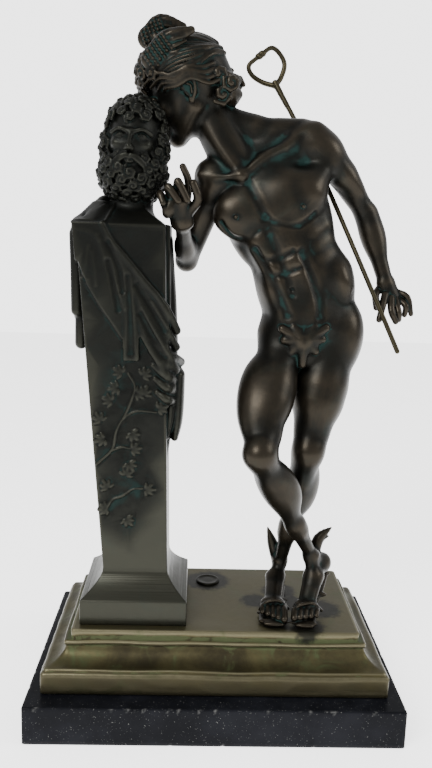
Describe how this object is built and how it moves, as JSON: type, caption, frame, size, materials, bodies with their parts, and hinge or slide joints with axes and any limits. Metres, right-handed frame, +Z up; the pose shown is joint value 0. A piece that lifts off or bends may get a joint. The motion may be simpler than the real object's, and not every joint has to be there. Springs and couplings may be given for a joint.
{
  "type": "mercury statue",
  "caption": "Bronze statue of a youthful Mercury leaning over to a bearded herm, a snake-ringed staff behind him, on a moulded bronze plinth and a black marble base.",
  "frame": {"origin": "centre of the marble base's underside, on the surface that it stands on", "axes": "+X to the viewer's right along the long side of the base, +Y away from the viewer, +Z up"},
  "size_m": [0.3706, 0.24, 0.6781],
  "materials": {
    "black_marble": "polished black marble, worn satin, with white specks",
    "golden_bronze": "satin bronze with a golden green-brown patina",
    "grey_bronze": "satin bronze with a grey-olive patina",
    "brown_bronze": "satin dark brown bronze, rubbed reddish-brown and olive on the high places",
    "olive_bronze": "satin olive-gold bronze"
  },
  "bodies": {
    "root": {"marble_base": "black_marble", "bronze_terrace": "golden_bronze", "herm": "grey_bronze", "mercury_figure": "brown_bronze", "caduceus": "olive_bronze"}
  },
  "joints": []
}
